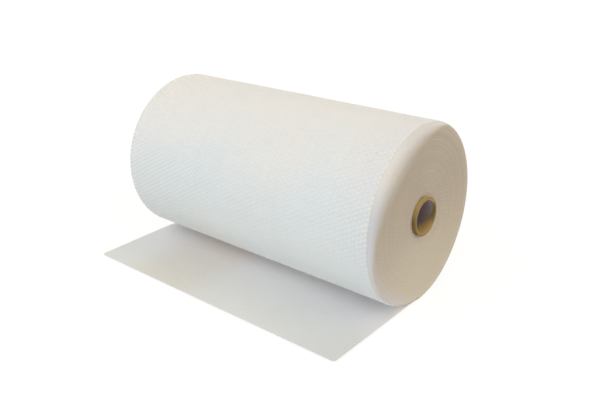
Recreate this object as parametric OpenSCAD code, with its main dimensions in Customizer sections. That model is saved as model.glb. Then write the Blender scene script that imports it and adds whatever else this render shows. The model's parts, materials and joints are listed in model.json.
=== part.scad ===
// Roll of bubble film on a cardboard core, lying on its side with its free end pulled out.
// The roll's axis lies along X. The origin is on the floor, under the middle of the roll,
// and the free end lies on the floor towards -Y.

/* [Core] */
// Bore of the cardboard tube
core_bore_d = 76; // [50:1:100]
// Wall of the cardboard tube
core_wall = 6; // [3:0.5:10]
// Length of tube that stands out of each end face of the roll
core_proud = 8.5; // [2:0.5:20]

/* [Film] */
// Width of the film, and so of the roll
film_w = 750; // [300:10:1200]
// Thickness of the free film, from its flat sheet to the crowns of its bubbles
film_t = 3.9; // [3.4:0.1:6]
// How much thinner each turn is pressed by winding
wind_squash = 0.6; // [0.4:0.1:1]
// Turns of film on the core
turns = 50; // [10:1:60]
// Length of free film in front of the line where the roll stands on the floor
tail_len = 316; // [100:1:900]
// Radius of the two corners of the free end
corner_r = 7; // [2:1:20]

/* [Bubbles] */
// Distance from one row of bubbles to the next, across the film
row_pitch = 9.5; // [8:0.5:30]
// Width of the crowns of one row
crown_w = 4.5; // [2:0.5:6]
// Depth of the furrow between two rows
furrow_depth = 2; // [0.6:0.1:2.2]

/* [Ends and underside] */
// Width of the slot between two turns, as seen on an end face
slot_w = 0.9; // [0.6:0.1:1.2]
// Least depth of that slot, which it has at the outermost turn
slot_depth = 3; // [1:0.5:8]
// How far the edge of the outermost turn lies back from the end face
shoulder_w = 9; // [3:0.5:12]
// How deep into the roll the edges of the turns lie back, less and less
shoulder_h = 22; // [8:1:30]
// Depth by which the roll's own weight flattens its underside
flat_depth = 1.5; // [1.2:0.1:3]

/* [Hidden] */
cardboard = [0.70, 0.56, 0.31];
milky = [0.90, 0.90, 0.88];
fine = 96;
overcut = 1;
round_steps = 6;

core_bore_r = core_bore_d / 2;
core_r = core_bore_r + core_wall;
core_len = film_w + 2 * core_proud;

// The film is wound in half turns. Those at the back are centred on the roll's axis, and those
// in front lie half a turn's thickness higher, so that each half runs smoothly into the next.
turn_t = film_t - wind_squash;
back_r = core_r + turns * turn_t;
front_r = back_r - turn_t / 2;
axis_z = back_r - flat_depth;
front_axis_z = axis_z + turn_t / 2;
flat_half = sqrt(back_r * back_r - axis_z * axis_z);

// Rows of bubbles fill the width between the two end bands
end_w = slot_depth + shoulder_w;
rows = floor((film_w - 2 * end_w) / row_pitch);
rows_w = rows * row_pitch;
band_w = (film_w - rows_w) / 2;
flank_w = (row_pitch - crown_w) / 2;

// Outline of one row, as [place across the film, depth below the crowns]
row_outline = [
    [0, furrow_depth],
    [flank_w, 0],
    [row_pitch - flank_w, 0],
    [row_pitch, furrow_depth]
];

// Outline of the roll's shoulder, from the end face inwards, in the same terms
band_outline = concat(
    [for (i = [0:round_steps])
        let (a = i * 90 / round_steps)
        [shoulder_w * (1 - cos(a)), furrow_depth + (shoulder_h - furrow_depth) * (1 - sin(a))]],
    [[band_w, furrow_depth]]
);

// Turns a profile by half a turn round the roll's axis
module half_turn(in_front) {
    translate([0, 0, in_front ? front_axis_z : axis_z])
        rotate([0, 90, 0])
            rotate([0, 0, in_front ? 180 : 0])
                rotate_extrude(angle = 180, $fn = fine)
                    children();
}

// Wound film under an outline across it, from the outer turn down to the core
module wound(outline) {
    from = outline[0][0];
    to = outline[len(outline) - 1][0];
    half_turn(false)
        polygon(concat([[core_r, to], [core_r, from]], [for (p = outline) [back_r - p[1], p[0]]]));
    half_turn(true)
        polygon(concat(
            [[core_r + turn_t / 2, to], [core_r + turn_t / 2, from]],
            [for (p = outline) [front_r - p[1], p[0]]]));
}

// Half of one turn of the slot, drawn round the centre of its own half turn
module slot_half(in_front, r) {
    translate([in_front ? -turn_t / 2 : 0, 0])
        difference() {
            circle(r = r + slot_w / 2, $fn = fine);
            circle(r = r - slot_w / 2, $fn = fine);
            translate([-back_r, in_front ? 0 : -2 * back_r])
                square(2 * back_r);
        }
}

// Spiral slot that parts the turns, seen along the roll's axis
module spiral_slot() {
    for (n = [1:turns - 1])
        slot_half(false, back_r - n * turn_t);
    for (n = [1:turns - 2])
        slot_half(true, front_r - n * turn_t);
}

// Wound film beyond the last row, at the end face towards -X, where the turns show
module end_band() {
    difference() {
        wound(band_outline);
        translate([-overcut, 0, axis_z])
            rotate([0, 90, 0])
                linear_extrude(height = end_w + overcut)
                    spiral_slot();
    }
}

// What is missing outside the round of the free end's corner towards +X
module corner_cut() {
    translate([film_w / 2 - corner_r, corner_r - tail_len, -overcut])
        linear_extrude(height = film_t + 2 * overcut)
            difference() {
                translate([0, -2 * corner_r])
                    square(2 * corner_r);
                circle(r = corner_r, $fn = fine);
            }
}

// Free end, with its bubbles against the floor and its flat sheet on top
module tail() {
    difference() {
        translate([-film_w / 2, -tail_len, 0])
            rotate([-90, 0, 0])
                linear_extrude(height = tail_len - flat_half)
                    polygon(concat(
                        [[film_w, -film_t], [0, -film_t], [0, -furrow_depth]],
                        [for (n = [0:rows - 1], p = row_outline)
                            [band_w + n * row_pitch + p[0], -p[1]]],
                        [[film_w, -furrow_depth]]));
        corner_cut();
        mirror([1, 0, 0])
            corner_cut();
    }
    translate([-film_w / 2, -flat_half, 0])
        cube([film_w, flat_half, film_t]);
}

// What the floor presses flat under the back of the roll
module floor_cut() {
    translate([-film_w, 0, -back_r])
        cube([2 * film_w, back_r, back_r]);
}

// Cardboard tube on which the film is wound
module core_tube() {
    color(cardboard)
        translate([-core_len / 2, 0, axis_z])
            rotate([0, 90, 0])
                difference() {
                    cylinder(r = core_r, h = core_len, $fn = fine);
                    translate([0, 0, -overcut])
                        cylinder(r = core_bore_r, h = core_len + 2 * overcut, $fn = fine);
                }
}

// Wound film and its free end, which are one web
module bubble_web() {
    color(milky) {
        difference() {
            union() {
                for (n = [0:rows - 1])
                    translate([n * row_pitch - rows_w / 2, 0, 0])
                        wound(row_outline);
                translate([-film_w / 2, 0, 0])
                    end_band();
                mirror([1, 0, 0])
                    translate([-film_w / 2, 0, 0])
                        end_band();
            }
            floor_cut();
        }
        tail();
    }
}

core_tube();
bubble_web();
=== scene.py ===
import json
import math
import bpy
import numpy as np
from mathutils import Matrix, Vector


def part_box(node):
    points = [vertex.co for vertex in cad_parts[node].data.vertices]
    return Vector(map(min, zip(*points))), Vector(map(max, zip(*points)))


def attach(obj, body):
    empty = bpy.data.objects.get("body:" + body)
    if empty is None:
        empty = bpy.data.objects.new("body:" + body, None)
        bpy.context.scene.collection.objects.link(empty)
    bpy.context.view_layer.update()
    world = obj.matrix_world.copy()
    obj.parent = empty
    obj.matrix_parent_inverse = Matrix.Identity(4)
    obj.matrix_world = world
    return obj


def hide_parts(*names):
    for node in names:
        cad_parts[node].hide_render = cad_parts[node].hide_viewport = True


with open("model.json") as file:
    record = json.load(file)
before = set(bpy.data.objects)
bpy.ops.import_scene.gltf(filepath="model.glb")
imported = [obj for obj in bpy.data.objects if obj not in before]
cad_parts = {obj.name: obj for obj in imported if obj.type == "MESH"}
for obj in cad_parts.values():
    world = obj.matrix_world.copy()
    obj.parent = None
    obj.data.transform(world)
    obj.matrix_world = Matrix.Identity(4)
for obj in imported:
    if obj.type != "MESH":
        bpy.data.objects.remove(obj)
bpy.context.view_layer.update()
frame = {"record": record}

# Large roll of small-bubble film on a cardboard tube, with its free end on the floor.
# Everything is in metres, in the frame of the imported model.
dice = np.random.default_rng(27)
mm = 0.001
fullTurn = 2 * math.pi

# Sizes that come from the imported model
webLow, webHigh = [Vector(c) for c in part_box("bubble_web")]
tubeHigh = Vector(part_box("core_tube")[1])
boreMount = next(m for m in frame["record"]["mounts"] if m["name"] == "core_bore")
axisZ = boreMount["pos_m"][2]
boreR = boreMount["dims"]["r_mm"] * mm
filmW = webHigh.x - webLow.x
tailLen = -webLow.y
rollR = webHigh.z - axisZ
tubeR = round(tubeHigh.z - axisZ, 4)

# The film itself, as it is wound
film = {
    "turns": 50,
    "freeThickness": 3.9 * mm,
    "rowPitch": 9.5 * mm,            # from row to row, across the film
    "bubblePitch": 11.0 * mm,        # from bubble to bubble, along a row
    "bubbleR": 4.6 * mm,
    "bubbleHeight": 1.8 * mm,        # of a bubble that is wound under tension
    "unevenness": 0.06,              # how far the heights of the bubbles differ
    "domeRings": ((0.50, 0.88), (0.93, 0.24)),    # a dome's two rings: share of radius, of height
    "endBand": 12 * mm,              # least width at each end that has no even rows
}
turnT = (rollR - tubeR) / film["turns"]
frontR = rollR - turnT / 2           # the front half of each turn has its own centre
frontAxisZ = axisZ + turnT / 2
turnBubbles = round(math.pi * (rollR + frontR) / film["bubblePitch"])
turnLen = turnBubbles * film["bubblePitch"]
evenRows = int((filmW - 2 * film["endBand"]) / film["rowPitch"])
rows = evenRows + 2                  # one more at each end, which follows the roll's shoulder
rowsW = rows * film["rowPitch"]


def softStep(value, low, high):
    t = np.clip((value - low) / (high - low), 0, 1)
    return t * t * (3 - 2 * t)


# The roll's shoulder: towards the end faces the outer turns lie back, less and less with depth.
# On the back they lie closer, and where the roll stands its weight has pressed the shoulder flat.
shoulder = {
    "wide": 9.0 * mm,                # how far the outermost turn lies back
    "deep": 22.0 * mm,               # how deep into the roll that reaches
    "backShare": 0.25,               # of that width on the back
    "backTo": 140, "frontFrom": 185,    # degrees round the roll, from the floor line up the back
    "flatTo": 14, "fullFrom": 58,    # degrees round the roll, away from the floor line
}


def shoulderWide(angle):
    away = np.degrees(np.minimum(angle, fullTurn - angle))
    front = softStep(np.degrees(angle), shoulder["backTo"], shoulder["frontFrom"])
    share = shoulder["backShare"] + (1 - shoulder["backShare"]) * front
    share = share * softStep(away, shoulder["flatTo"], shoulder["fullFrom"])
    return shoulder["wide"] * share + 0.02 * mm      # never 0, because it is divided by


def drawnBack(depth, angle):
    foot = film["bubbleHeight"]
    lean = np.clip(1 - (depth - foot) / (shoulder["deep"] - foot), 0, 1)
    return shoulderWide(angle) * (1 - np.sqrt(1 - lean ** 2))


def shoulderDrop(across, angle):
    # How far the film has sunk under its usual level, at a place across the roll
    lean = np.clip(1 - (filmW / 2 - np.abs(across)) / shoulderWide(angle), 0, 1)
    return (shoulder["deep"] - film["bubbleHeight"]) * (1 - np.sqrt(1 - lean ** 2))


# Shader maths: an expression on sockets adds its Math nodes
class Wire:
    def __init__(self, tree, socket):
        self.tree = tree
        self.socket = socket

    def maths(self, operation, other=None, swapped=False):
        node = self.tree.nodes.new("ShaderNodeMath")
        node.operation = operation
        pair = (other, self) if swapped else (self, other)
        for slot, value in zip(node.inputs, pair):
            plug(self.tree, slot, value)
        return Wire(self.tree, node.outputs[0])

    def __add__(self, other):
        return self.maths("ADD", other)

    __radd__ = __add__

    def __sub__(self, other):
        return self.maths("SUBTRACT", other)

    def __rsub__(self, other):
        return self.maths("SUBTRACT", other, True)

    def __mul__(self, other):
        return self.maths("MULTIPLY", other)

    __rmul__ = __mul__

    def __truediv__(self, other):
        return self.maths("DIVIDE", other)

    def __rtruediv__(self, other):
        return self.maths("DIVIDE", other, True)

    def __mod__(self, other):
        return self.maths("FLOORED_MODULO", other)

    def __rmod__(self, other):
        return self.maths("FLOORED_MODULO", other, True)


def plug(tree, slot, value):
    if value is None:
        return
    if isinstance(value, Wire):
        tree.links.new(value.socket, slot)
    else:
        slot.default_value = value


class Nodes:
    def __init__(self, tree):
        self.tree = tree

    def add(self, kind, settings=None, sockets=None, out=0):
        node = self.tree.nodes.new("ShaderNode" + kind)
        for key, value in (settings or {}).items():
            setattr(node, key, value)
        for key, value in (sockets or {}).items():
            plug(self.tree, node.inputs[key], value)
        return Wire(self.tree, node.outputs[out]) if len(node.outputs) else None

    def addSplit(self, kind, sockets=None):
        # A node of which several outputs are used, as one wire for each, by its name
        node = self.add(kind, None, sockets).socket.node
        return {socket.name: Wire(self.tree, socket) for socket in node.outputs}


class Finish(Nodes):
    def __init__(self, name, **fixed):
        self.material = bpy.data.materials.new(name)
        self.material.use_nodes = True
        super().__init__(self.material.node_tree)
        self.shader = self.tree.nodes["Principled BSDF"]
        for socket, value in fixed.items():
            self.shader.inputs[socket.replace("_", " ")].default_value = value

    def attribute(self, name):
        return self.add("Attribute", {"attribute_name": name}, out="Vector")

    def parts(self, vector):
        split = self.addSplit("SeparateXYZ", {0: vector})
        return split["X"], split["Y"], split["Z"]

    def noise(self, vector, scale, detail=3.0):
        return self.add("TexNoise", None, {"Vector": vector, "Scale": scale, "Detail": detail})

    def blend(self, factor, colourA, colourB, way="MIX"):
        # In a mix of colours, 6 and 7 are the inputs A and B, and 2 is the result
        settings = {"data_type": "RGBA", "blend_type": way}
        return self.add("Mix", settings, {0: factor, 6: colourA, 7: colourB}, out=2)

    def stretched(self, vector, scale):
        return self.add("Mapping", None, {"Vector": vector, "Scale": scale})

    def ranged(self, value, low, high, toLow=0.0, toHigh=1.0):
        sockets = {0: value, 1: low, 2: high, 3: toLow, 4: toHigh}
        return self.add("MapRange", {"interpolation_type": "SMOOTHSTEP"}, sockets)

    def feed(self, socket, value):
        plug(self.tree, self.shader.inputs[socket], value)

    def bumped(self, height, distance):
        self.feed("Normal", self.add("Bump", None, {"Height": height, "Distance": distance}))


# Meshes
def makePiece(name, points, faces, material, place, normals=None):
    mesh = bpy.data.meshes.new(name)
    mesh.from_pydata(points.tolist(), [], faces)
    layer = mesh.attributes.new("place", "FLOAT_VECTOR", "POINT")   # for the finish
    layer.data.foreach_set("vector", place.astype(np.float32).ravel())
    mesh.polygons.foreach_set("use_smooth", [True] * len(mesh.polygons))
    mesh.materials.append(material)
    mesh.update()
    if normals is not None:
        mesh.normals_split_custom_set_from_vertices(normals.tolist())
    piece = bpy.data.objects.new(name, mesh)
    bpy.context.collection.objects.link(piece)
    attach(piece, "root")
    return piece


def pointNormals(points, faces):
    total = np.zeros_like(points)
    for corners in (3, 4):
        chosen = np.array([f for f in faces if len(f) == corners])
        a, b, c = (points[chosen[:, i]] for i in range(3))
        for i in range(corners):
            np.add.at(total, chosen[:, i], np.cross(b - a, c - a))
    return total / np.maximum(np.linalg.norm(total, axis=1, keepdims=True), 1e-12)


def woundPoints(angle, depth, turn=0):
    # Point of the wound film in the YZ plane. The angle runs from the floor line up the back,
    # and the depth is how far the point lies under the crowns of that turn's bubbles.
    back = angle < math.pi
    r = np.where(back, rollR, frontR) - turn * turnT - depth
    z = np.where(back, axisZ, frontAxisZ) - r * np.cos(angle)
    return r * np.sin(angle), z


# Formed film with its bubbles
def bubbleCells(count):
    # The bubbles of a flat film, count of them along each row: points as (across, along, height)
    # and a list of faces for each row. Lines of points part the rows, and each bubble's cell
    # reaches over two steps of them.
    pitchX, pitchS = film["rowPitch"], film["bubblePitch"]
    steps = 2 * count + 1
    lineX, lineS = np.meshgrid(np.arange(rows + 1) * pitchX - rowsW / 2,
                               np.arange(steps) * pitchS / 2, indexing="ij")
    points = [np.stack([lineX, lineS, 0 * lineX], -1).reshape(-1, 3)]
    rowFaces = []
    base = len(points[0])

    # One dome: its crown, six points round that and twelve near its foot
    dome = [(0.0, 0.0, 1.0)]
    for corners, (reach, rise) in zip((6, 12), film["domeRings"]):
        dome += [(reach * math.cos(a), reach * math.sin(a), rise)
                 for a in np.arange(corners) * math.pi / (corners / 2)]
    dome = np.array(dome) * [film["bubbleR"], film["bubbleR"], film["bubbleHeight"]]

    def atLine(line, step):
        return line * steps + step

    for row in range(rows):
        faces = []
        odd = row % 2
        for step in range(odd, 2 * count - 1, 2):
            centre = [(row + 0.5) * pitchX - rowsW / 2, (step + 1) * pitchS / 2, 0]
            height = 1 + film["unevenness"] * dice.standard_normal()
            points.append(dome * [1, 1, height] + centre)
            a, b = base + 1, base + 7
            for i in range(6):
                left, mid, right = b + 2 * i, b + 2 * i + 1, b + (2 * i + 2) % 12
                nextA = a + (i + 1) % 6
                faces += [(base, nextA, a + i), (a + i, mid, left), (a + i, nextA, mid),
                          (nextA, right, mid)]
            # The cell's six edge points; each is the neighbour of two points of the foot ring
            edge = [atLine(row + 1, step + 1), atLine(row + 1, step + 2), atLine(row, step + 2),
                    atLine(row, step + 1), atLine(row, step), atLine(row + 1, step)]
            for i in range(12):
                corner, nextCorner = edge[i // 2], edge[(i + 1) // 2 % 6]
                foot, nextFoot = b + i, b + (i + 1) % 12
                faces.append((foot, nextFoot, corner))
                if corner != nextCorner:
                    faces.append((nextFoot, nextCorner, corner))
            base += len(dome)
        if odd:                                # half cells close the ends of odd rows
            for step in (0, 2 * count - 1):
                faces.append((atLine(row, step + 1), atLine(row + 1, step + 1),
                              atLine(row + 1, step), atLine(row, step)))
        rowFaces.append(faces)
    return np.concatenate(points), rowFaces


# Finishes
def makeFilmFinish():
    look = {
        "warm": (0.865, 0.845, 0.815, 1), "cool": (0.80, 0.84, 0.842, 1),
        "clouds": 3.3, "streaks": (160, 3, 1), "streakShare": 0.35,
        "coolTo": 0.35, "warmFrom": 0.65,      # in the mix of clouds, streaks and the painted warm light on the top
        "warmAt": 0.54, "warmShare": 0.25,     # of a turn, from the floor line up the back; painted warm light on the roll's top
        "evenAt": 0.6, "coolest": -0.38,
        "under": (0.95, 0.94, 0.925, 1),       # painted light low on the front, in place of light through the free film
        "underFrom": 0.85, "underTo": 0.93,
        "right": (0.95, 0.965, 0.985, 1),      # painted shade: the right end is darker, by this share
        "rightFrom": 240 * mm,
        "grain": 420.0, "grainDetail": 4.0, "grainDepth": 0.12 * mm,
    }
    finish = Finish("milkyBubbleFilm", Roughness=0.5, IOR=1.45, Subsurface_Weight=0.8,
                    Subsurface_Radius=(1, 1, 1), Subsurface_Scale=2.5 * mm)
    place = finish.attribute("place")
    cloud = finish.noise(place, look["clouds"])
    streak = finish.noise(finish.stretched(place, look["streaks"]), 1.0)
    mix = cloud * (1 - look["streakShare"]) + streak * look["streakShare"]
    across, along, _ = finish.parts(place)
    spin = along / turnLen
    # Painted light: the top of the roll is painted warmer and lighter, and the lower front cooler
    paintedUpperLight = ((spin - look["warmAt"]) * fullTurn).maths("COSINE")
    mix = mix + (paintedUpperLight - look["evenAt"]).maths("MAXIMUM", look["coolest"]) * look["warmShare"]
    warmth = finish.ranged(mix, look["coolTo"], look["warmFrom"])
    colour = finish.blend(warmth, look["cool"], look["warm"])
    # Painted light low on the front of the roll
    under = finish.ranged(spin, look["underFrom"], look["underTo"])
    colour = finish.blend(under, colour, look["under"])
    # Painted shade towards the right end
    right = finish.ranged(across, look["rightFrom"], filmW / 2)
    finish.feed("Base Color", finish.blend(right, colour, look["right"], "MULTIPLY"))
    finish.bumped(finish.noise(place, look["grain"], look["grainDetail"]), look["grainDepth"])
    return finish.material


def makeEdgeFinish():
    look = {
        "light": (0.57, 0.50, 0.41, 1), "dark": (0.515, 0.44, 0.355, 1),
        "rings": (1, 0.2, 500), "darkTo": 0.3, "lightFrom": 0.7,
        "pressed": (0.665, 0.60, 0.50, 1),     # painted light from the floor: lighter towards the bottom
        "pressedFrom": 300 * mm, "pressedTo": -20 * mm,    # height above the floor
        # Painted light: the outermost turns are painted in the colours of light that passes through
        # them. From the bottom to the top they have four colours, and each pair of heights is where
        # one of them becomes the next.
        "rims": ((0.77, 0.74, 0.72, 1), (0.72, 0.745, 0.81, 1), (0.89, 0.87, 0.85, 1),
                 (0.82, 0.785, 0.76, 1)),
        "rimHeights": ((100 * mm, 160 * mm), (250 * mm, 340 * mm), (375 * mm, 412 * mm)),
        "tightFrom": 2 * mm, "tightTo": 14 * mm,
        "looseFrom": 15 * mm, "looseTo": 80 * mm,     # on the upper front, where they lie looser
        "shallow": (1.0, 1.04, 1.22, 1),       # painted cool light near the front rim, as a share of the body's colour
        "shallowTo": 8 * mm, "shallowFrom": 45 * mm, "backFrom": -20 * mm, "frontTo": -90 * mm,
        "grain": 600.0, "grainDepth": 0.1 * mm,
    }
    finish = Finish("woundFilmEdges", Roughness=0.6, IOR=1.45)
    place = finish.attribute("place")
    _, looseness, depth = finish.parts(place)
    ring = finish.noise(finish.stretched(place, look["rings"]), 1.0)
    ring = finish.ranged(ring, look["darkTo"], look["lightFrom"])
    body = finish.blend(ring, look["dark"], look["light"])
    start = looseness * (look["looseFrom"] - look["tightFrom"]) + look["tightFrom"]
    stop = looseness * (look["looseTo"] - look["tightTo"]) + look["tightTo"]
    _, outward, height = finish.parts(finish.add("TexCoord", out="Object"))
    # Painted light: the end face is lighter towards the floor
    pressed = finish.ranged(height, look["pressedFrom"], look["pressedTo"])
    body = finish.blend(pressed, body, look["pressed"])
    # Painted cool light on the end face near the front rim
    shallow = finish.ranged(depth, look["shallowFrom"], look["shallowTo"])
    shallow = shallow * finish.ranged(outward, look["backFrom"], look["frontTo"])
    body = finish.blend(shallow, body, look["shallow"], "MULTIPLY")
    # Painted light in the outermost turns, from light that passes through them
    inner = finish.ranged(depth, start, stop)
    paintedRimColour = look["rims"][0]
    for (low, high), colour in zip(look["rimHeights"], look["rims"][1:]):
        paintedRimColour = finish.blend(finish.ranged(height, low, high), paintedRimColour, colour)
    finish.feed("Base Color", finish.blend(inner, paintedRimColour, body))
    finish.bumped(finish.noise(place, look["grain"]), look["grainDepth"])
    return finish.material


def makeSheetFinish():
    look = {
        "sheet": (0.77, 0.785, 0.77, 1), "bubble": (0.80, 0.815, 0.80, 1),
        "discTo": 0.8 * film["bubbleR"], "discFade": 1.05 * film["bubbleR"],    # a bubble's edge
        "backed": (0.895, 0.865, 0.85, 1),     # painted light that lightens the roll's shadow on the sheet
        "backedFrom": -265 * mm, "backedTo": -140 * mm,
        "nip": (1.0, 0.97, 0.96, 1),           # painted light in the shadow where the roll closes on it
        "nipFrom": -110 * mm, "nipTo": -60 * mm,
        "right": (0.885, 0.90, 0.92, 1),       # painted shade: the right end is darker, by this share
        "rightFrom": 50 * mm,
        "warm": (0.965, 0.92, 0.87, 1),        # share that a warmer stretch on its left gives back
        "warmFrom": (-320 * mm, -190 * mm), "warmUntil": (-120 * mm, 0.0),
        "discRelief": 0.25, "creases": 60.0, "relief": 0.35 * mm,
    }
    finish = Finish("freeFilmSheet", Roughness=0.42, IOR=1.45)
    place = finish.attribute("place")
    across, along, _ = finish.parts(place)
    u = (across + rowsW / 2) / film["rowPitch"]
    v = (along + tailLen) / film["bubblePitch"] - (u.maths("FLOOR") % 2.0) * 0.5
    du = (u.maths("FRACT") - 0.5) * film["rowPitch"]
    dv = (v.maths("FRACT") - 0.5) * film["bubblePitch"]
    reach = (du * du + dv * dv).maths("SQRT")
    disc = finish.ranged(reach, look["discTo"], look["discFade"], 1.0, 0.0)
    spread = finish.blend(disc, look["sheet"], look["bubble"])
    # Painted light: the sheet is lighter towards the roll, against the roll's shadow
    backed = finish.ranged(along, look["backedFrom"], look["backedTo"])
    spread = finish.blend(backed, spread, look["backed"])
    # Painted light at the nip
    nip = finish.ranged(along, look["nipFrom"], look["nipTo"])
    spread = finish.blend(nip * nip, spread, look["nip"])
    # Painted shade towards the right end, less of it at the nip
    right = finish.ranged(across, look["rightFrom"], filmW / 2) * (1 - nip)
    spread = finish.blend(right, spread, look["right"], "MULTIPLY")
    warm = finish.ranged(across, *look["warmFrom"]) * (1 - finish.ranged(across, *look["warmUntil"]))
    finish.feed("Base Color", finish.blend(warm, spread, look["warm"], "MULTIPLY"))
    finish.bumped(disc * look["discRelief"] + finish.noise(place, look["creases"]), look["relief"])
    return finish.material


def makeBoardFinish():
    look = {
        "board": (0.32, 0.20, 0.055, 1), "light": (0.50, 0.345, 0.13, 1),
        "grain": (350, 500, 900), "grainDetail": 5.0, "darkTo": 0.3, "lightFrom": 0.7,
        "grainShare": 0.6, "upperShare": 0.4,  # of what makes the board lighter: grain, and painted light on the upper half
        # The tube's outside: painted shade below and painted light on top
        "outside": (0.21, 0.145, 0.05, 1), "top": (0.45, 0.33, 0.14, 1),
        "topFrom": 0.1, "topTo": -0.8,         # painted light: cosine of the angle round the tube, upper half
        # Darker on the tube's back
        "stained": (0.15, 0.11, 0.04, 1), "stainShare": 0.8,
        "stainFrom": 0.70, "stainTo": 0.95,    # sine of that angle, on the tube's back
        "outerPly": (0.25, 0.145, 0.035, 1), "outerPlyW": 1.6 * mm,
        "inside": (0.34, 0.285, 0.30, 1),      # painted shade, deeper in the bore
        "linerFrom": 0.5 * mm, "linerTo": 7 * mm,
        "rubbed": (0.60, 0.45, 0.19, 1),       # painted light, low in the bore
        "wornBottom": 26 * mm, "wornShare": 0.7, "wornPower": 3.0,
        "seamEvery": 95 * mm, "seamLean": 0.8, "seamW": 1.2 * mm, "seamShare": 0.6,
        "relief": 0.25 * mm,
    }
    finish = Finish("cardboardTube", Roughness=0.85, IOR=1.4)
    place = finish.attribute("place")
    along, around, radius = finish.parts(place)
    grain = finish.noise(finish.stretched(place, look["grain"]), 1.0, look["grainDetail"])
    seam = ((along + around * look["seamLean"]) / look["seamEvery"]).maths("FRACT")
    line = finish.ranged(seam * look["seamEvery"], 0.0, look["seamW"], 1.0, 0.0)
    down = (around / radius).maths("COSINE")
    # Painted light low in the bore: 1 at the bottom, 0 at the top
    worn = (down * 0.5 + 0.5).maths("POWER", look["wornPower"])
    # Painted light on the upper half of the tube
    paintedUpperLight = finish.ranged(down, look["topFrom"], look["topTo"])
    fleck = finish.ranged(grain, look["darkTo"], look["lightFrom"]) * look["grainShare"]
    wall = finish.blend(fleck + paintedUpperLight * look["upperShare"], look["board"], look["light"])
    wall = finish.blend(line * look["seamShare"], wall, look["board"])
    outerPly = finish.ranged(radius, tubeR - look["outerPlyW"], tubeR - 0.7 * look["outerPlyW"])
    wall = finish.blend(outerPly, wall, look["outerPly"])
    # Darker on the tube's back
    darkerBackMask = finish.ranged((around / radius).maths("SINE"), look["stainFrom"], look["stainTo"])
    wall = finish.blend(darkerBackMask * look["stainShare"], wall, look["stained"])
    # Painted shade on the tube's outside, with painted light on its top
    outside = finish.ranged(radius, tubeR - 0.4 * mm, tubeR - 0.1 * mm)
    wall = finish.blend(outside, wall, finish.blend(paintedUpperLight, look["outside"], look["top"]))
    bore = finish.ranged(radius, boreR + 0.2 * mm, boreR + 0.6 * mm, 1.0, 0.0)
    # Painted light low in the bore
    wall = finish.blend(worn * bore * look["wornShare"], wall, look["rubbed"])
    # Painted shade deeper in the bore, which starts nearer the mouth at the top than at the bottom
    inward = tubeHigh.x - along.maths("ABSOLUTE") - worn * look["wornBottom"]
    deep = finish.ranged(inward, look["linerFrom"], look["linerTo"])
    finish.feed("Base Color", finish.blend(deep * bore, wall, look["inside"]))
    finish.bumped(grain - line, look["relief"])
    return finish.material


filmLook = makeFilmFinish()
edgeLook = makeEdgeFinish()
sheetLook = makeSheetFinish()
boardLook = makeBoardFinish()
print("finishes made")


# Wound film, in three widths
wound = {
    "parts": 3,
    "milky": 0.35,                             # how far light in the film evens out the bubbles
    "swell": 0.5 * mm,                         # how unevenly the outer turn lies
    "calmEnds": 60 * mm,                       # width at each end where it calms down
}
filmPieces = []


def swell(across, angle):
    # Three waves that cross each other, brought to 1 at most by 0.37, and none at the floor line
    wave = np.sin(31 * across + 4 * np.sin(angle)) + np.sin(5 * angle + 9 * across)
    wave = wave + 0.7 * np.sin(11 * angle - 17 * across)
    calm = 1 - softStep(np.abs(across), filmW / 2 - wound["calmEnds"], filmW / 2 - shoulder["wide"])
    return wound["swell"] * 0.37 * wave * calm * (0.5 - 0.5 * np.cos(angle))


def acrossRoll(across, angle):
    # The rows keep their places, but the last row is squeezed in up to the outermost turn's edge
    even = evenRows * film["rowPitch"] / 2
    squeeze = (filmW / 2 - drawnBack(turnT, angle) - even) / film["rowPitch"]
    past = np.maximum(np.abs(across) - even, 0)
    return np.sign(across) * (np.minimum(np.abs(across), even) + past * squeeze)


def wrapped(flat):
    across, along, height = flat.T
    angle = np.minimum(along * fullTurn / turnLen, fullTurn - 1e-6)
    across = acrossRoll(across, angle)
    depth = film["bubbleHeight"] - height - swell(across, angle) + shoulderDrop(across, angle)
    y, z = woundPoints(angle, depth)
    return np.stack([across, y, np.maximum(z, 0.0)], -1)


def makeWoundFilm():
    # The normals come from the whole film, so that no seam shows between its parts
    flat, rowFaces = bubbleCells(turnBubbles)
    points, faces = wrapped(flat), sum(rowFaces, [])
    level = pointNormals(wrapped(flat * [1, 1, 0]), faces)
    normals = pointNormals(points, faces) * (1 - wound["milky"]) + level * wound["milky"]
    cuts = [round(i * rows / wound["parts"]) for i in range(wound["parts"] + 1)]
    for n, (first, last) in enumerate(zip(cuts, cuts[1:])):
        chosen = sum(rowFaces[first:last], [])
        used = sorted({i for face in chosen for i in face})
        number = {old: new for new, old in enumerate(used)}
        chosen = [tuple(number[i] for i in face) for face in chosen]
        filmPieces.append(makePiece(f"wound_film_{n + 1}", points[used], chosen, filmLook,
                                    flat[used], normals[used]))


makeWoundFilm()
print("outer turn made:", turnBubbles, "bubbles in each of", rows, "rows")


# Edges of the turns, on both end faces
endTurns = {
    "steps": 360,                              # round the roll
    "sheetEdge": 0.5 * mm,                     # width of a turn's edge
    "valley": 1.8 * mm,                        # depth between two edges
    "cutBubble": 1.1 * mm,                     # how far cut bubbles fill that valley
    "valleysFrom": 25 * mm,                    # depth from which they are that deep
    "wander": 0.45 * mm,                       # how unevenly the turns were wound
    "carried": 0.75,                           # share of that which one turn hands to the next
    "loosestAt": 222, "looseFade": 1.2,        # degrees round the roll, and how fast it fades
    "frontMiddle": 237, "tightAt": (60, 90),   # tight that far away from it
    "tightest": 0.2,
    # The innermost turn ends half way round, and a wall goes in beside the tube from there
    "wallInsets": (4 * mm, 12 * mm, 24 * mm), "wallFoot": 30 * mm, "tubeInset": 3 * mm,
}


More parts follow.
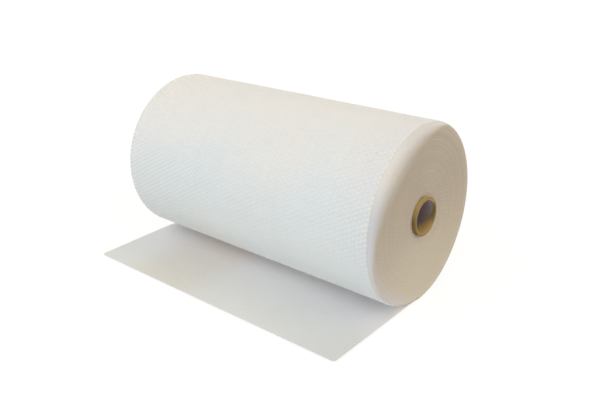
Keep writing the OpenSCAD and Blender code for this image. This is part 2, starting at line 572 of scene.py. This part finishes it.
def looseness(angle):
    # 1 on the upper front of the roll, where the outer turns lie loosest, and less than 0 on the
    # back and at the bottom, where they lie tightest
    away = angle - math.radians(endTurns["loosestAt"])
    loose = np.clip(np.cos(endTurns["looseFade"] * away), 0, 1) ** 1.5
    tight = softStep(np.abs(np.degrees(angle) - endTurns["frontMiddle"]), *endTurns["tightAt"])
    return loose - endTurns["tightest"] * tight


def endLines():
    # Lines of points that run round the end face, as (turn, depth, inset from the film's edge).
    # Each turn has three: its edge, and the two sides of the valley inside that edge.
    look, turns, steps = endTurns, film["turns"], endTurns["steps"]
    spin = np.arange(steps) * fullTurn / steps
    lip, level = look["sheetEdge"] / 2, np.ones(steps)
    start = turnT - 2 * lip
    lines = [(0, start * level, drawnBack(start, spin))]
    shift = 0.0
    for turn in range(turns):
        shift = look["carried"] * shift + 0.5 * look["wander"] * dice.standard_normal()
        sway = shift * level
        for wave in (1, 2, 3, 5):
            size = 0.3 * look["wander"] * dice.standard_normal() / wave
            sway = sway + size * np.cos(wave * spin + dice.uniform(0, fullTurn))
        edge = (turn + 1) * turnT
        cells = round(fullTurn * (rollR - edge) / film["bubblePitch"])
        bubbles = 0.5 + 0.5 * np.cos(cells * spin + dice.uniform(0, fullTurn))
        valley = look["valley"] - look["cutBubble"] * bubbles * (0.7 + 0.3 * dice.random(steps))
        valley = valley * softStep(edge, 0, look["valleysFrom"])
        inset = np.abs(sway) + drawnBack(edge, spin)
        lines += [(turn, (edge - lip) * level, inset),
                  (turn, (edge + lip) * level, inset + 0.5 * valley),
                  (turn, (edge + 0.55 * turnT) * level, inset + valley)]
    wall = spin > math.pi
    for (turn, depth, inset), wallInset in zip(lines[-3:], look["wallInsets"]):
        depth[wall] = turn * turnT
        inset[wall] = wallInset
    lines.append((turns - 1, np.where(wall, (turns - 1) * turnT, turns * turnT),
                  np.where(wall, look["wallFoot"], look["tubeInset"])))
    return spin, lines


def makeEndTurns(side, name):
    spin, lines = endLines()
    steps = len(spin)
    points, place = [], []
    for turn, depth, inset in lines:
        y, z = woundPoints(spin, depth - turn * turnT, turn)
        x = side * (filmW / 2 - inset)
        points.append(np.stack([x, y, np.maximum(z, 0)], -1))
        place.append(np.stack([x, looseness(spin), depth], -1))
    quads = []
    seat = (len(lines) - 1) * steps
    for n, (turn, _, _) in enumerate(lines[:-1]):
        here, there = n * steps, (n + 1) * steps
        quads += [(here + m, here + m + 1, there + m + 1, there + m) for m in range(steps - 1)]
        last, lastThere = here + steps - 1, there + steps - 1
        if n > 0 and turn < film["turns"] - 1:         # a turn leads on into the next one
            quads.append((last, here + 3 * steps, there + 3 * steps, lastThere))
        elif n > 0:
            quads.append((last, seat, lastThere))
    if side < 0:
        quads = [q[::-1] for q in quads]
    piece = makePiece(name, np.concatenate(points), quads, edgeLook, np.concatenate(place))
    filmPieces.append(piece)


makeEndTurns(1, "turn_edges_right")
makeEndTurns(-1, "turn_edges_left")
print("turn edges made")


# Free end: a flat sheet above, its bubbles below
freeEnd = {
    "gridX": 150, "gridY": 70,
    "crowding": 1.3,                           # how much closer the rows lie at the front corners
    "lift": 0.8 * mm,                          # how far the film stands off the floor in waves
    "wavesFrom": 50 * mm, "wavesTo": 160 * mm,    # away from the line where the roll stands
    "cornerR": 7.0 * mm,
    "gap": 0.1 * mm,                           # between the sheet and the formed film
}


def sheetHeight(x, y):
    # The sheet lies on its bubbles, and near the roll it is pressed down to the outer turn
    under = frontAxisZ - np.sqrt(frontR ** 2 - np.minimum(np.abs(y), 0.99 * frontR) ** 2)
    wave = 1.0 + 0.5 * np.sin(9 * x + 2 * np.sin(7 * y)) + 0.5 * np.sin(19 * y + 5 * x)
    wave = freeEnd["lift"] * 0.5 * wave * softStep(-y, freeEnd["wavesFrom"], freeEnd["wavesTo"])
    return np.minimum(film["freeThickness"], under) + wave


def cornered(x, y):
    # The two front corners are rounded
    r = freeEnd["cornerR"]
    past = np.clip(r - (y + tailLen), 0, r)
    return x * (1 - (r - np.sqrt(r * r - past * past)) / (filmW / 2))


def makeFreeEnd():
    wide, long = freeEnd["gridX"] + 1, freeEnd["gridY"] + 1
    ease = np.linspace(0, 1, long) ** freeEnd["crowding"]
    x, y = np.meshgrid(np.linspace(-filmW / 2, filmW / 2, wide), tailLen * (ease - 1))
    points = np.stack([cornered(x, y), y, sheetHeight(x, y)], -1).reshape(-1, 3)
    place = np.stack([x, y, 0 * x], -1).reshape(-1, 3)
    faces = [(j * wide + i, j * wide + i + 1, (j + 1) * wide + i + 1, (j + 1) * wide + i)
             for j in range(long - 1) for i in range(wide - 1)]
    filmPieces.append(makePiece("free_sheet", points, faces, sheetLook, place))

    count = round(tailLen / film["bubblePitch"])
    flat, rowFaces = bubbleCells(count)
    across, along, height = flat.T
    y = along * tailLen / (count * film["bubblePitch"]) - tailLen
    top = sheetHeight(across, y) - freeEnd["gap"]
    share = height / film["bubbleHeight"]
    z = np.maximum(top - share * np.minimum(top, film["freeThickness"] - freeEnd["gap"]), 0)
    points = np.stack([cornered(across, y), y, z], -1)
    filmPieces.append(makePiece("free_bubbles", points, sum(rowFaces, []), filmLook, flat))


makeFreeEnd()
print("free end made")

for filmPiece in filmPieces:
    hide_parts("bubble_web")


# Cardboard tube
tube = {
    "steps": 144,
    "plies": 5,
    "groove": 0.3 * mm,                        # between two plies, on the cut ring
    "bevel": 0.7 * mm,
    "ragged": 0.2 * mm,
}


def tubeProfile():
    # From the middle of the outside round one end to the middle of the bore: (x, radius)
    end, wall, bevel = tubeHigh.x, tubeR - boreR, tube["bevel"]
    ply = (wall - 2 * bevel) / tube["plies"]
    rim = [(end - bevel, tubeR), (end - bevel * 0.3, tubeR - bevel * 0.3)]
    for n in range(tube["plies"]):
        high = tubeR - bevel - n * ply
        rim += [(end, high - 0.1 * ply), (end, high - 0.8 * ply), (end - tube["groove"], high - ply)]
    rim += [(end - bevel * 0.3, boreR + bevel * 0.3), (end - bevel, boreR)]
    outside = [(end * share, tubeR) for share in (0.0, 0.3, 0.6, 0.9)]
    bore = [(end * share, boreR) for share in (0.95, 0.8, 0.6, 0.4, 0.2, 0.0)]
    return outside + rim + bore


def makeTube():
    half = tubeProfile()
    profile = half + [(-x, r) for x, r in half[-2:0:-1]]
    steps, count = tube["steps"], len(profile)
    spin = np.arange(steps) * fullTurn / steps
    points, place = [], []
    for x, r in profile:
        worn = tube["ragged"] * dice.random(steps) * (abs(x) > tubeHigh.x - tube["bevel"])
        px = x - math.copysign(1, x) * worn
        points.append(np.stack([px, r * np.sin(spin), axisZ - r * np.cos(spin)], -1))
        place.append(np.stack([px, r * spin, r + 0 * spin], -1))
    quads = []
    for n in range(count):
        here, there = n * steps, (n + 1) % count * steps
        quads += [(here + m, here + (m + 1) % steps, there + (m + 1) % steps, there + m)
                  for m in range(steps)]
    piece = makePiece("cardboard_tube", np.concatenate(points), quads, boardLook,
                      np.concatenate(place))
    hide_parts("core_tube")


makeTube()
print("tube made")


# Floor, light and camera
studio = {
    "floorSize": 40.0, "floorColour": (0.92, 0.92, 0.92, 1),
    "shadow": 0.22,                            # how much of the object's shadow the floor keeps
    "glow": 1.08,
    "air": 0.52, "airColour": (1.0, 0.98, 0.93, 1),
    "front": {"from": (-0.3, -1.0, 0.75), "strength": 1.13, "angle": 60, "colour": (0.75, 0.87, 1.0)},
    "top": {"from": (0.2, 0.15, 1.0), "strength": 0.47, "angle": 45, "colour": (1.0, 0.62, 0.25)},
    "side": {"from": (1.0, 0.35, 0.55), "strength": 0.62, "angle": 40, "colour": (1.0, 0.98, 0.86)},
}


def whiteToCamera(nodes, lit, unlit):
    rays = nodes.addSplit("LightPath")
    seen = rays["Is Camera Ray"] + rays["Is Glossy Ray"] + rays["Is Transmission Ray"]
    return nodes.add("MixShader", None, {0: seen.maths("MINIMUM", 1.0), 1: lit, 2: unlit})


def makeFloor():
    half = studio["floorSize"] / 2
    corners = [(-half, -half, 0), (half, -half, 0), (half, half, 0), (-half, half, 0)]
    mesh = bpy.data.meshes.new("floor")
    mesh.from_pydata(corners, [], [(0, 1, 2, 3)])
    floor = bpy.data.objects.new("floor", mesh)
    bpy.context.collection.objects.link(floor)
    material = bpy.data.materials.new("floorWhite")
    material.use_nodes = True
    nodes = Nodes(material.node_tree)
    nodes.tree.nodes.clear()
    plain = nodes.add("BsdfDiffuse", None, {0: studio["floorColour"]})
    shown = nodes.add("BsdfDiffuse", None, {0: (1, 1, 1, 1)})
    glow = nodes.add("Emission", None, {1: studio["glow"]})
    white = nodes.add("MixShader", None, {0: studio["shadow"], 1: glow, 2: shown})
    nodes.add("OutputMaterial", None, {0: whiteToCamera(nodes, plain, white)})
    mesh.materials.append(material)


def makeWorld():
    world = bpy.data.worlds.new("studioAir")
    bpy.context.scene.world = world
    world.use_nodes = True
    nodes = Nodes(world.node_tree)
    nodes.tree.nodes.clear()
    air = nodes.add("Background", None, {0: studio["airColour"], 1: studio["air"]})
    white = nodes.add("Background", None, {0: (1, 1, 1, 1)})
    nodes.add("OutputWorld", None, {0: whiteToCamera(nodes, air, white)})


def makeSun(name):
    look = studio[name]
    lamp = bpy.data.lights.new(name, "SUN")
    lamp.energy = look["strength"]
    lamp.angle = math.radians(look["angle"])
    lamp.color = look["colour"]
    sun = bpy.data.objects.new(name, lamp)
    sun.rotation_euler = Vector(look["from"]).to_track_quat("Z", "Y").to_euler()
    bpy.context.collection.objects.link(sun)


view = {
    "azimuth": 40.57, "elevation": 21.07, "roll": -1.02,     # degrees
    "distance": 1.8165,
    "aim": (0.0, 0.0, 0.2085),
    "lens": 43.94,
    "shift": (0.01555, -0.03753),
}


def makeCamera():
    turn, rise, roll = (math.radians(view[k]) for k in ("azimuth", "elevation", "roll"))
    back = Vector((math.sin(turn) * math.cos(rise), -math.cos(turn) * math.cos(rise), math.sin(rise)))
    right = Vector((math.cos(turn), math.sin(turn), 0))
    up = back.cross(right)
    tilted = right * math.cos(roll) + up * math.sin(roll)
    upright = up * math.cos(roll) - right * math.sin(roll)
    lens = bpy.data.cameras.new("camera")
    lens.lens = view["lens"]
    lens.shift_x, lens.shift_y = view["shift"]
    lens.clip_start = 0.05
    camera = bpy.data.objects.new("camera", lens)
    grid = Matrix((tilted, upright, back)).transposed().to_4x4()
    grid.translation = Vector(view["aim"]) + back * view["distance"]
    camera.matrix_world = grid
    bpy.context.collection.objects.link(camera)
    bpy.context.scene.camera = camera


makeFloor()
makeWorld()
for lampName in ("front", "top", "side"):
    makeSun(lampName)
makeCamera()
bpy.context.scene.view_settings.view_transform = "Standard"
print("studio made")
